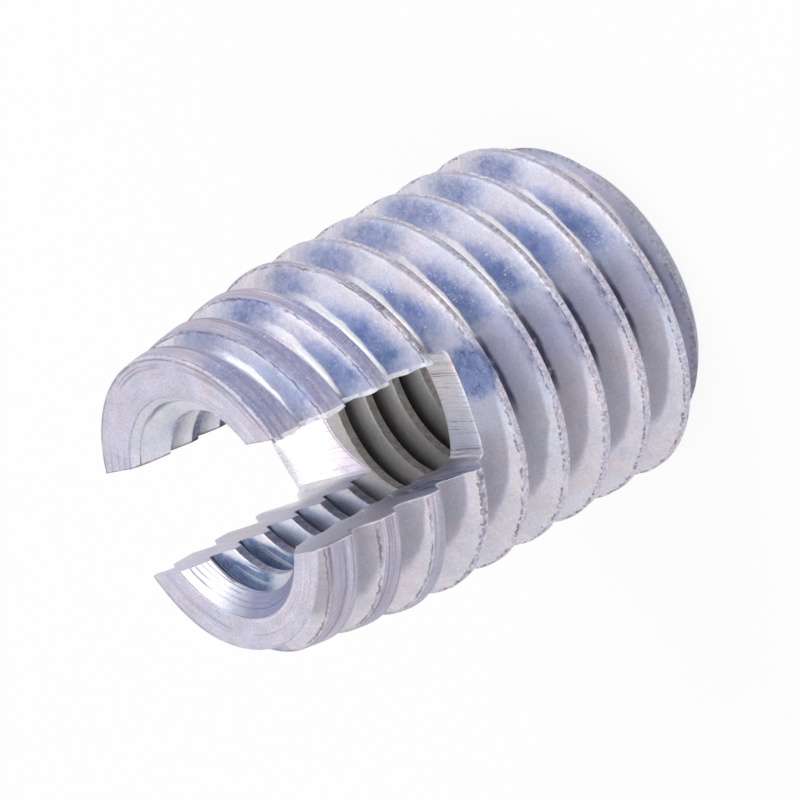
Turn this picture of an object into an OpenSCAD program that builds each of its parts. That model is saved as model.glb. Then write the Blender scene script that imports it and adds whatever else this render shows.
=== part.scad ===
// Slotted self-tapping threaded insert.
// A turned steel bush with a coarse outside thread, a finer thread in its bore,
// a tapered nose and a saw slot across the nose that makes two cutting edges.
// It stands on its rear face: +Z is its axis, and the slot runs along X.

/* [Body] */
// Length over the two end faces
body_len = 14; // [11:0.5:20]
// Diameter over the crests of the outside thread
body_d = 10; // [9:0.25:12]
// Pitch of the outside thread
body_pitch = 1.5; // [1.25:0.05:1.8]
// Height of the outside groove's middle above the rear face, on the +X side
body_groove_z = 0.7; // [0:0.1:1.4]
// Length of the 45 degree chamfer round the rear end
rear_chamfer = 1.16; // [1.05:0.05:1.6]

/* [Nose] */
// How much smaller than the crests the slotted end face is, on the diameter
nose_drop = 1.3; // [0.5:0.1:2]
// Angle of the lead-in taper to the axis, in degrees
nose_angle = 8; // [4:0.5:15]

/* [Bore] */
// Nominal diameter of the thread in the bore
bore_d = 6; // [4:0.5:6.5]
// Pitch of the thread in the bore
bore_pitch = 1; // [0.7:0.05:1.25]
// How much wider than the thread the countersunk mouths are
mouth_extra = 0.48; // [0.2:0.1:1]

/* [Slot] */
// Width of the saw slot
slot_w = 3.1; // [1.5:0.1:4]
// Depth of the slot at its deepest point, on the body's axis
slot_depth = 6.45; // [3:0.25:9]
// Diameter of the saw that cuts the slot, which leaves its floor hollow
saw_d = 40; // [30:5:80]
// Bevel that the saw's worn rim leaves in the corners of the slot's floor
saw_bevel = 0.25; // [0.1:0.05:0.5]
// Lean of the slot off the body's axis, in degrees
slot_lean = 1.25; // [0:0.25:2]

/* [Hidden] */
$fn = 96;

// Facets in one turn of the outside thread
BODY_FACETS = 48;
// Half of the 60 degrees between the sides of a thread
FLANK = 30;
// How far cutting shapes pass the surface that they cut
OVERCUT = 0.1;

body_r = body_d / 2;
nose_r = (body_d - nose_drop) / 2;
rear_r = body_r - rear_chamfer;

// Outside thread: crests an eighth of the pitch wide, and a deep groove between them
groove_depth = body_pitch * 2 / 3;
groove_floor = body_pitch * 7 / 8 - 2 * groove_depth * tan(FLANK);
root_r = body_r - groove_depth;
// The rear chamfer meets the groove's floor at this height
foot_z = root_r - rear_r;

// The bore is left at the crests of its thread, which is 0.5413 of a pitch deep
bore_r = bore_d / 2 - bore_pitch * 0.5413;
mouth_r = (bore_d + mouth_extra) / 2;

function clamp(v, low, high) = max(low, min(v, high));

// Height of a flank above the groove's floor, where the taper, the crest or the chamfer ends it.
// The flank starts at height z, and side is 1 for the flank that faces the rear, else -1.
function flank_height(z, side) = clamp(min(
    (nose_r - root_r + (body_len - z) * tan(nose_angle)) / (1 + side * tan(nose_angle) * tan(FLANK)),
    (rear_r - root_r + z) / (1 - side * tan(FLANK))), 0, groove_depth);

// Radius that the end face has where the groove runs out through it, at a turn count
function end_radius(turn) =
    let (q = (body_len - body_groove_z) / body_pitch - turn, off = abs(q - round(q)) * body_pitch)
    min(nose_r, root_r + max(0, off - groove_floor / 2) / tan(FLANK));

// A point [height, radius] kept between the foot and the end face
function kept(z, r, turn) =
    z <= foot_z ? [foot_z, root_r] : z >= body_len ? [body_len, end_radius(turn)] : [z, r];

// Four corners of the groove's section, on a column at a turn count
function groove(z, turn) =
    let (low = z - groove_floor / 2, high = z + groove_floor / 2,
        a = flank_height(low, -1), b = flank_height(high, 1))
    [kept(low - a * tan(FLANK), root_r + a, turn), kept(low, root_r, turn),
        kept(high, root_r, turn), kept(high + b * tan(FLANK), root_r + b, turn)];

function polar(p, a) = [p[1] * cos(a), p[1] * sin(a), p[0]];

// Threaded outside as a solid: columns of groove corners round the axis, joined side by side
module threaded_blank() {
    n = BODY_FACETS;
    turns = ceil(body_len / body_pitch) + 3;
    rows = 4 * turns;
    points = concat(
        [for (i = [0:n - 1], m = [0:turns - 1])
            let (turn = i / n + m - 2)
            each [for (p = groove(body_groove_z + body_pitch * turn, i / n)) polar(p, 360 * i / n)]],
        [for (i = [0:n - 1]) polar([0, rear_r], 360 * i / n)],
        [[0, 0, 0], [0, 0, body_len]]);
    rim = n * rows;
    centre = rim + n;
    // Column n is column 0 again, one turn further on
    function id(i, j) = i < n ? i * rows + j : min(j + 4, rows - 1);
    sides = [for (i = [0:n - 1], j = [0:rows - 2])
        each [[id(i, j), id(i, j + 1), id(i + 1, j + 1)], [id(i, j), id(i + 1, j + 1), id(i + 1, j)]]];
    foot = [for (i = [0:n - 1]) let (k = (i + 1) % n)
        each [[i * rows, k * rows, rim + k], [i * rows, rim + k, rim + i],
            [centre, rim + i, rim + k],
            [centre + 1, k * rows + rows - 1, i * rows + rows - 1]]];
    polyhedron(points, [for (f = concat(sides, foot))
        if (points[f[0]] != points[f[1]] && points[f[1]] != points[f[2]]
            && points[f[2]] != points[f[0]]) f], convexity = 20);
}

// 90 degree countersink at a bore mouth, opening upwards at z = 0
module countersink()
    translate([0, 0, bore_r - OVERCUT - mouth_r])
        cylinder(r1 = bore_r - OVERCUT, r2 = mouth_r + OVERCUT, h = mouth_r - bore_r + 2 * OVERCUT);

// Saw disc with a bevelled rim, set with its lowest point at the slot's floor
module saw()
    translate([0, 0, body_len])
        rotate([-slot_lean, 0, 0])
            translate([0, 0, saw_d / 2 - slot_depth])
                rotate([90, 0, 0])
                    rotate_extrude()
                        polygon([[0, -slot_w / 2], [saw_d / 2 - saw_bevel, -slot_w / 2],
                            [saw_d / 2, -slot_w / 2 + saw_bevel], [saw_d / 2, slot_w / 2 - saw_bevel],
                            [saw_d / 2 - saw_bevel, slot_w / 2], [0, slot_w / 2]]);

// The finished insert
module insert_body()
    color("lightsteelblue")
        difference() {
            threaded_blank();
            translate([0, 0, -OVERCUT])
                cylinder(r = bore_r, h = body_len + 2 * OVERCUT);
            translate([0, 0, body_len])
                countersink();
            mirror([0, 0, 1])
                countersink();
            saw();
        }

insert_body();
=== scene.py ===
"""Visual model of a slotted self-tapping threaded insert in zinc plated steel.

The insert stands on its rear face. +Z is its axis and X runs along its slot.
Lengths in the settings are in millimetres and become metres when a mesh is made.
"""

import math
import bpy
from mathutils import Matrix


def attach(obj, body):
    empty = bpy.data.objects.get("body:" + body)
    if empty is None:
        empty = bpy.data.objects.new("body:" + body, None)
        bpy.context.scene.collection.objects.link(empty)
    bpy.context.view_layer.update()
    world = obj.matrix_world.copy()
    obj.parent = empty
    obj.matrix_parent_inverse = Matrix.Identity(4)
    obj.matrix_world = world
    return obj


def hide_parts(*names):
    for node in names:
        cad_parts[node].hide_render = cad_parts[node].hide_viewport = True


bl_info = {
    "name": "Threaded Insert Builder",
    "version": (1, 0, 0),
    "blender": (4, 5, 0),
    "location": "View3D > Sidebar > Insert",
    "description": "Builds a slotted self-tapping threaded insert, its plated finish and a plain stage",
    "category": "Object",
}

import bmesh
import bpy
import numpy as np
from mathutils import Matrix, Vector

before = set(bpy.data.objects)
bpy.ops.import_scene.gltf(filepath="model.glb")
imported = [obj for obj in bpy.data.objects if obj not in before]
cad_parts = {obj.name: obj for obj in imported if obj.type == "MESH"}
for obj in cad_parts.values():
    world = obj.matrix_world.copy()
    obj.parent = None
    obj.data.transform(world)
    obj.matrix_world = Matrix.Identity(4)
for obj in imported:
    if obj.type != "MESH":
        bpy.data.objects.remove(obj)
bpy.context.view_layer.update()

MM = 0.001
TURN = 2 * math.pi
FLANK_SLOPE = 1 / math.tan(math.radians(30))

# Material slots of the insert, in order
THREAD, BORE, FACE, WALL, FLOOR = range(5)

# How wide the corners of a section are rounded off, in mm
CREST_ROUND = 0.06
ROOT_ROUND = 0.20
REAR_ROUND = 0.05
BORE_ROUND = 0.04

# Mean wear of the crests, depth of their nicks, in mm, and how uneven a crest is before it is nicked
CREST_WEAR = 0.008
NICK_DEPTH = 0.05
NICK_LEVEL = 0.45

# Rims of the end faces, outside and in the bore, in mm, and how far a rounded corner's middle is in
OUTER_RIM, INNER_RIM = 0.06, 0.035
CORNER_BEND = 0.29

# Where the saw's burr fills the bore's thread, how far it goes round, how full the grooves get, and
# how far under the slot's floor it starts and over what height it grows, in mm
BURRED_ANGLE = math.radians(-37)
BURRED_SPREAD = math.radians(11)
BURR_FILL = 0.8
BURR_START, BURR_GROWTH = 0.3, 0.5

# The saw cut: how far in from its edges it is rolled, how much less in the bore and at the top, how far
# it passes the body, the height over its floor from which its rows are level, and its -X side's start
# and width, over which it gets narrower, in mm
ROLL_WIDTH = 0.05
TOP_ROLL_WIDTH = 0.13
INNER_ROLL, TOP_ROLL = 0.4, 0.7
SAW_REACH = 6.5
LEVEL_RISE = 1.4
SAG_START, SAG_WIDTH = -1.0, 1.5

# The camera: place in mm, lens and sensor in mm, and two of its axes
CAMERA_PLACE = (172.94, 33.03, 122.28)
CAMERA_LENS, CAMERA_SENSOR = 354.9, 36
CAMERA_RIGHT = (0.5600, -0.3962, -0.7276)
CAMERA_BACK = (0.8221, 0.1569, 0.5472)
FLOOR_EDGE = 1.5  # half the floor's side, in m


# ---------------------------------------------------------------- settings


def shade(red, green, blue):
    """Linear colour from display values of 0 to 255."""
    def line(value):
        v = value / 255
        return v / 12.92 if v <= 0.04045 else ((v + 0.055) / 1.055) ** 2.4
    return (line(red), line(green), line(blue))


def colour_setting(name, description, *levels):
    """A colour that the panel shows, from display values of 0 to 255."""
    return bpy.props.FloatVectorProperty(name=name, description=description, subtype="COLOR", size=3,
                                         min=0, max=1, default=shade(*levels))


class InsertSizes(bpy.types.PropertyGroup):
    length: bpy.props.FloatProperty(
        name="Length", description="Between the two end faces, in mm", default=14.0)
    crest_radius: bpy.props.FloatProperty(
        name="Crest radius", description="Of the outside thread, in mm", default=5.0)
    root_radius: bpy.props.FloatProperty(
        name="Root radius", description="Of the outside thread, in mm", default=4.0)
    pitch: bpy.props.FloatProperty(
        name="Pitch", description="Of the outside thread, in mm", default=1.5)
    crest_height: bpy.props.FloatProperty(
        name="Crest height", description="Of a crest's middle over the rear face on the +X side, in mm",
        default=1.45)
    crest_flat: bpy.props.FloatProperty(
        name="Crest flat", description="Half the width of a crest, in mm", default=0.094)
    nose_radius: bpy.props.FloatProperty(
        name="Nose radius", description="Of the slotted end face, in mm", default=4.35)
    nose_angle: bpy.props.FloatProperty(
        name="Nose angle", description="Of the lead-in taper to the axis",
        default=math.radians(8), subtype="ANGLE", unit="ROTATION")
    rear_radius: bpy.props.FloatProperty(
        name="Rear radius", description="Of the rear end face, in mm", default=3.955)
    rear_offset: bpy.props.FloatProperty(
        name="Rear offset", description="Of the rear chamfer off the axis, in mm", default=0.10)
    rear_offset_angle: bpy.props.FloatProperty(
        name="Rear offset angle", description="Side to which the rear chamfer is off the axis",
        default=math.radians(-28), subtype="ANGLE", unit="ROTATION")
    bore_radius: bpy.props.FloatProperty(
        name="Bore radius", description="Over the crests of the bore thread, in mm", default=2.4587)
    bore_root: bpy.props.FloatProperty(
        name="Bore root radius", description="Of the bore thread's grooves, in mm", default=3.0)
    bore_pitch: bpy.props.FloatProperty(
        name="Bore pitch", description="Of the bore thread, in mm", default=1.0)
    bore_root_height: bpy.props.FloatProperty(
        name="Bore root height", description="Of a bore groove's middle on the +X side, in mm",
        default=0.42)
    mouth_radius: bpy.props.FloatProperty(
        name="Mouth radius", description="Of the countersinks at the end faces, in mm", default=3.24)
    slot_width: bpy.props.FloatProperty(
        name="Slot width", description="In mm", default=3.1)
    slot_depth: bpy.props.FloatProperty(
        name="Slot depth", description="On the axis, where it is deepest, in mm", default=6.45)
    saw_radius: bpy.props.FloatProperty(
        name="Saw radius", description="Of the saw that leaves the slot's hollow floor, in mm",
        default=18.0)
    slot_corner: bpy.props.FloatProperty(
        name="Slot corner", description="Radius in the corners of the slot's floor, in mm", default=0.18)
    slot_offset: bpy.props.FloatProperty(
        name="Slot offset", description="Of the slot's middle off the axis, in mm", default=-0.03)
    far_sag: bpy.props.FloatProperty(
        name="Far sag", description="How much narrower the slot is on its -X side, in mm", default=0.1)
    edge_roll: bpy.props.FloatProperty(
        name="Edge roll", description="How far the slot's edges are rolled over, in mm", default=0.035)
    burr: bpy.props.FloatProperty(
        name="Burr", description="Of the burr that hangs from the upper wall's edge, in mm",
        default=0.07)
    slot_lean: bpy.props.FloatProperty(
        name="Slot lean", description="Of the slot off the axis", default=math.radians(1.25),
        subtype="ANGLE", unit="ROTATION")


class StageSettings(bpy.types.PropertyGroup):
    floor_colour: bpy.props.FloatVectorProperty(
        name="Floor", description="Colour of the floor", subtype="COLOR", size=3,
        default=(0.86, 0.86, 0.87))
    sky_level: bpy.props.FloatProperty(
        name="Sky level", description="Strength of the even light all round", default=0.7)
    background_cover: bpy.props.FloatProperty(
        name="Background cover", description="How far the floor shows as plain white",
        default=0.9, subtype="FACTOR", min=0, max=1)
    key_power: bpy.props.FloatProperty(
        name="Top box", description="Power of the soft box on the slot's upper side", default=1.0,
        subtype="POWER", unit="POWER")
    fill_power: bpy.props.FloatProperty(
        name="Nose box", description="Power of the soft box before the nose", default=0.7,
        subtype="POWER", unit="POWER")
    slot_power: bpy.props.FloatProperty(
        name="Slot box", description="Power of the soft box that lights the slot's floor", default=0.055,
        subtype="POWER", unit="POWER")


class FinishColours(bpy.types.PropertyGroup):
    flank: colour_setting("Flank", "Of the outside thread's plain flanks", 216, 212, 224)
    # Film and deep film also colour blue patches on the flanks that are painted as a reflection of dark
    # surroundings
    film: colour_setting("Film", "Of the blue passivate film", 150, 163, 203)
    deep_film: colour_setting("Deep film", "Of the film where it is strongest", 112, 131, 180)
    crest: colour_setting("Crest", "Of the outside thread's crests", 226, 221, 234)
    worn_crest: colour_setting("Worn crest", "Of the crests where they are worn", 196, 190, 198)
    land: colour_setting("Land", "Of the lands that the taper leaves", 188, 182, 200)
    end_face: colour_setting("End face", "Of the two end faces", 211, 207, 223)
    bore: colour_setting("Bore", "Of the bore near the nose", 232, 231, 240)
    bare_bore: colour_setting("Bare bore", "Of the bore's bare metal further in", 216, 214, 212)
    slot_wall: colour_setting("Slot wall", "Of the slot's walls", 214, 210, 226)
    slot_floor: colour_setting("Slot floor", "Of the slot's floor", 236, 238, 252)
    dirt: colour_setting("Dirt", "Of the small specks along the crests", 112, 104, 128)


def sizes():
    return bpy.context.scene.insert_sizes


def paint(name):
    """One of the finish's colours."""
    return tuple(getattr(bpy.context.scene.insert_colours, name))


# ---------------------------------------------------------------- shape


def soft_min(a, b, blend):
    """The smaller value, with the corner between the two rounded off."""
    overlap = np.maximum(blend - np.abs(a - b), 0) / blend
    return np.minimum(a, b) - overlap ** 2 * blend / 4


def soft_max(a, b, blend):
    return -soft_min(-a, -b, blend)


def crest_wear(angle, z):
    """How far the crests are worn and nicked, in mm."""
    waves = ((0.5, 14 * angle + 3.1 * z), (0.3, 31 * angle - 7 * z), (0.2, 57 * angle + 11 * z))
    uneven = sum(size * np.sin(argument) for size, argument in waves)
    return CREST_WEAR * (1 + uneven) + NICK_DEPTH * np.maximum(uneven - NICK_LEVEL, 0)


def outside_radius(angle, z):
    """Radius of the outside at an angle and height, in mm."""
    s = sizes()
    turns = (z - s.crest_height) / s.pitch - angle / TURN
    offset = np.abs(turns - np.round(turns)) * s.pitch
    thread = s.crest_radius - (offset - s.crest_flat) * FLANK_SLOPE
    thread = soft_min(thread, s.crest_radius - crest_wear(angle, z), CREST_ROUND)
    thread = soft_max(thread, np.full_like(z, s.root_radius), ROOT_ROUND)
    taper = s.nose_radius + (s.length - z) * math.tan(s.nose_angle)
    rear = s.rear_radius + s.rear_offset * np.cos(angle - s.rear_offset_angle) + z
    taper = soft_min(taper, rear, REAR_ROUND)
    return np.minimum(soft_min(thread, taper, CREST_ROUND), s.crest_radius)


def inside_radius(angle, z):
    """Radius of the bore with its thread and both countersinks, in mm."""
    s = sizes()
    turns = (z - s.bore_root_height) / s.bore_pitch - angle / TURN
    offset = np.abs(turns - np.round(turns)) * s.bore_pitch
    thread = s.bore_root - (offset - s.bore_pitch / 16) * FLANK_SLOPE
    thread = soft_min(thread, np.full_like(z, s.bore_root), CREST_ROUND)
    thread = soft_max(thread, np.full_like(z, s.bore_radius), BORE_ROUND)
    burred = np.exp(-((angle - TURN - BURRED_ANGLE) / BURRED_SPREAD) ** 2)
    burred = burred * np.clip((z - s.length + s.slot_depth + BURR_START) / BURR_GROWTH, 0, 1)
    thread = thread - BURR_FILL * burred * (thread - s.bore_radius)
    mouth = s.mouth_radius - np.minimum(z, s.length - z)
    return soft_max(thread, mouth, BORE_ROUND)


def helical_rows(start, pitch, steps, length):
    """Heights over the helix for every row of a thread's grid, from below the rear to past the nose."""
    first = math.floor(-start / pitch) - 2
    last = math.ceil((length - start) / pitch) + 1
    return np.array([start + pitch * (turn + step) for turn in range(first, last) for step in steps])


def threaded_wall(rows, pitch, radius, columns, low, high):
    """Grid of points on a threaded wall: one column for each angle, rows along the helix."""
    angle = np.arange(columns)[:, None] * TURN / columns
    z = np.clip(rows[None, :] + pitch * angle / TURN, low, high)
    angle = np.broadcast_to(angle, z.shape)
    r = radius(angle, z)
    return np.stack([r * np.cos(angle), r * np.sin(angle), z], axis=-1)


def add_wall(points, faces, grid, steps, outward):
    """Adds a helical grid whose last column meets its first one a turn further on."""
    base = len(points)
    columns, rows = grid.shape[:2]
    points.extend(map(tuple, grid.reshape(-1, 3)))

    def at(i, j):
        if i == columns:
            i, j = 0, min(j + steps, rows - 1)
        return base + i * rows + j

    for i in range(columns):
        for j in range(rows - 1):
            quad = [at(i, j), at(i + 1, j), at(i + 1, j + 1), at(i, j + 1)]
            faces.append(quad if outward else quad[::-1])
    return [at(i, 0) for i in range(columns)], [at(i, rows - 1) for i in range(columns)]


def add_ring_face(points, faces, outer, inner, height, rims, up):
    """Fills an end face between the loops of two walls that stop short of it, and rounds both rims."""
    columns = len(outer)
    a = np.array([points[k] for k in outer])
    b = np.array([points[k] for k in inner])
    inward = a * (-1, -1, 0) / np.hypot(a[:, 0], a[:, 1])[:, None]
    start, stop = a + inward * rims[0], b - inward * rims[1]
    start[:, 2] = stop[:, 2] = height

    def bent(wall, face):
        return wall * CORNER_BEND + face * (1 - CORNER_BEND)

    bend_out = a * (1, 1, 0) + inward * rims[0] * CORNER_BEND + (0, 0, 1) * bent(a, start)
    bend_in = b * (1, 1, 0) - inward * rims[1] * CORNER_BEND + (0, 0, 1) * bent(b, stop)
    rings = [bend_out, start, *(start + (stop - start) * f for f in (0.25, 0.5, 0.75)), stop, bend_in]
    loops = [outer]
    for ring in rings:
        loops.append([len(points) + i for i in range(columns)])
        points.extend(map(tuple, ring))
    loops.append(inner)
    for near, far in zip(loops, loops[1:]):
        for i in range(columns):
            n = (i + 1) % columns
            quad = [near[i], near[n], far[n], far[i]]
            faces.append(quad if up else quad[::-1])


def blank_mesh():
    """The turned and threaded bush, still without its slot."""
    s = sizes()
    columns = 228
    outer_steps = [0, 0.03, 0.052, 0.07, 0.10, 0.16, 0.24, 0.32, 0.39, 0.43, 0.46, 0.49, 0.51, 0.54,
                   0.57, 0.61, 0.68, 0.76, 0.84, 0.90, 0.93, 0.948, 0.97]
    inner_steps = [0, 0.05, 0.075, 0.16, 0.26, 0.34, 0.366, 0.384, 0.616, 0.634, 0.66, 0.74, 0.84,
                   0.925, 0.95]
    points, faces = [], []
    rows = helical_rows(s.crest_height, s.pitch, outer_steps, s.length)
    grid = threaded_wall(rows, s.pitch, outside_radius, columns, OUTER_RIM, s.length - OUTER_RIM)
    outer_foot, outer_top = add_wall(points, faces, grid, len(outer_steps), True)
    kinds = [THREAD] * len(faces)
    rows = helical_rows(s.bore_root_height, s.bore_pitch, inner_steps, s.length)
    grid = threaded_wall(rows, s.bore_pitch, inside_radius, columns, INNER_RIM, s.length - INNER_RIM)
    inner_foot, inner_top = add_wall(points, faces, grid, len(inner_steps), False)
    kinds += [BORE] * (len(faces) - len(kinds))
    rims = OUTER_RIM, INNER_RIM
    add_ring_face(points, faces, outer_top, inner_top, s.length, rims, True)
    add_ring_face(points, faces, outer_foot, inner_foot, 0.0, rims, False)
    kinds += [FACE] * (len(faces) - len(kinds))
    mesh = bpy.data.meshes.new("insert_body_visual")
    mesh.from_pydata(np.array(points) * MM, [], faces)
    mesh.polygons.foreach_set("material_index", kinds)
    tidy_mesh(mesh)
    return mesh


def tidy_mesh(mesh):
    """Joins points that lie together and drops faces with no area."""
    work = bmesh.new()
    work.from_mesh(mesh)
    bmesh.ops.remove_doubles(work, verts=work.verts, dist=0.0002 * MM)
    bmesh.ops.dissolve_degenerate(work, edges=work.edges, dist=0.0001 * MM)
    work.to_mesh(mesh)
    work.free()


def slot_to_body(y, z):
    """Height and sideways place in the body of a point that is set in the leaned slot's own frame."""
    s = sizes()
    c, d = math.cos(s.slot_lean), math.sin(s.slot_lean)
    return y * c + z * d + s.slot_offset, z * c - y * d + s.length


def slot_depth_at(x, rise):
    """Depth of a row in the slot. Low rows follow the hollow floor, and high ones are level."""
    s = sizes()
    sag = s.saw_radius - np.sqrt(s.saw_radius ** 2 - x ** 2)
    level = np.clip(1 - rise / LEVEL_RISE, 0, 1)
    return rise - s.slot_depth + sag * level * level * (3 - 2 * level)


def edge_at(radius, side, y, rise):
    """X of the edge where the slot's surface meets the outside or the bore, found by stepping."""
    halfway, steps = 3.5, 24
    x = np.full_like(y, side * halfway)
    for _ in range(steps):
        by, bz = slot_to_body(y, slot_depth_at(x, rise))
        r = radius(np.arctan2(by, x), np.clip(bz, 0, sizes().length))
        x = 0.5 * (x + side * np.sqrt(np.maximum(r ** 2 - by ** 2, 0.01)))
    return x


def slot_section():
    """Section of the slot from the top of one wall down, across the floor and up the other wall.

    Each station is a place across, a rise over the floor and the direction into the metal there.
    """
    s = sizes()
    half, corner = s.slot_width / 2, s.slot_corner
    wall_rows, floor_rows = 140, 14
    rises = [s.slot_depth + lift for lift in (0.4, 0.02, 0.0, -0.015, -0.03, -0.055, -0.09, -0.13)]
    rises += list(np.linspace(s.slot_depth - 0.17, corner, wall_rows))
    wall = [(half, rise, 1.0, 0.0) for rise in rises]
    turn = [math.radians(a) for a in (18, 36, 54, 72, 90)]
    wall += [(half - corner + corner * math.cos(a), corner - corner * math.sin(a), math.cos(a),
              -math.sin(a)) for a in turn]
    floor = [(y, 0.0, 0.0, -1.0) for y in np.linspace(half - corner, corner - half, floor_rows)[1:-1]]
    other = [(-y, rise, -ny, nz) for y, rise, ny, nz in reversed(wall)]
    return np.array(wall + floor + other)


def saw_mesh():
    """The space that the saw cuts. Its columns follow the edges, which are rolled over or burred."""
    s = sizes()
    y, rise, ny, nz = slot_section().T
    tucks = np.array([-0.3, -0.03, 0.0, 0.012, 0.026, ROLL_WIDTH])
    columns, rolls = [], []
    phase = np.random.default_rng(7).uniform(0, TURN, 24)
    arc = np.arange(len(y)) * 0.045
    waves = 2.1, 4.7, 9.3, 17.0

    def roll(side, edge):
        """How far each station's edge is rolled over, unevenly. A burr is negative."""
        burr = np.where((y > 0.5 * s.slot_width - 0.01) & ((edge == "out") == (side > 0)), -s.burr,
                        s.edge_roll)
        k = 6 * (side > 0) + 12 * (edge == "out")
        uneven = sum(np.sin(arc * f + phase[k + n]) for n, f in enumerate(waves)) / len(waves)
        return burr * (1 + 0.7 * uneven)

    for side in (-1, 1):
        out = edge_at(outside_radius, side, y, rise)
        inner = edge_at(inside_radius, side, y, rise)
        strip, bevels = [], []
        for tuck in tucks:
            strip.append(out - side * tuck)
            bevels.append(roll(side, "out") * np.clip(1 - tuck / ROLL_WIDTH, 0, 1) ** 1.5)
        for f in (0.25, 0.5, 0.75):
            strip.append(out - side * ROLL_WIDTH + (inner - out + side * 2 * ROLL_WIDTH) * f)
            bevels.append(np.zeros_like(y))
        for tuck in tucks[::-1]:
            strip.append(inner + side * tuck)
            bevels.append(INNER_ROLL * roll(side, "in") * np.clip(1 - tuck / ROLL_WIDTH, 0, 1) ** 1.5)
        if side < 0:
            columns, rolls = strip, bevels
        else:
            columns += strip[::-1]
            rolls += bevels[::-1]
    columns = [np.full_like(y, -SAW_REACH), *columns, np.full_like(y, SAW_REACH)]
    rolls = [rolls[0], *rolls, rolls[-1]]
    top = np.clip(1 - (s.slot_depth - rise) / TOP_ROLL_WIDTH, 0, 1) ** 1.5 * TOP_ROLL * s.edge_roll
    points = []
    for x, bevel in zip(columns, rolls):
        bevel = np.where(bevel < 0, bevel, np.maximum(bevel, top))
        sag = s.far_sag * np.clip(SAG_START - x, 0, SAG_WIDTH) / SAG_WIDTH
        sag = sag * np.clip(y / s.slot_width * 2, 0, 1)
        by, bz = slot_to_body(y + ny * bevel - sag, slot_depth_at(x, rise) + nz * bevel)
        points.append(np.stack([x, by, bz], axis=-1))
    grid = np.array(points)
    count, stations = grid.shape[:2]
    faces, kinds = [], []
    floor = np.abs(ny) < 0.75
    for i in range(count - 1):
        for j in range(stations):
            n = (j + 1) % stations
            faces.append([i * stations + j, (i + 1) * stations + j, (i + 1) * stations + n,
                          i * stations + n])
            kinds.append(FLOOR if floor[j] and floor[n] else WALL)
    faces += [list(range(stations)), [(count - 1) * stations + j for j in reversed(range(stations))]]
    kinds += [WALL, WALL]
    mesh = bpy.data.meshes.new("saw_cut")
    mesh.from_pydata(grid.reshape(-1, 3) * MM, [], faces)
    mesh.polygons.foreach_set("material_index", kinds)
    tidy = bmesh.new()
    tidy.from_mesh(mesh)
    bmesh.ops.recalc_face_normals(tidy, faces=tidy.faces)
    tidy.to_mesh(mesh)
    tidy.free()
    return mesh


def apply_modifiers(obj):
    """Turns an object's modifiers into mesh."""
    graph = bpy.context.evaluated_depsgraph_get()
    done = bpy.data.meshes.new_from_object(obj.evaluated_get(graph))
    obj.modifiers.clear()
    old = obj.data
    obj.data = done
    bpy.data.meshes.remove(old)


def new_object(name, mesh):
    obj = bpy.data.objects.new(name, mesh)
    bpy.context.scene.collection.objects.link(obj)
    return obj


# ---------------------------------------------------------------- shader helpers


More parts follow.
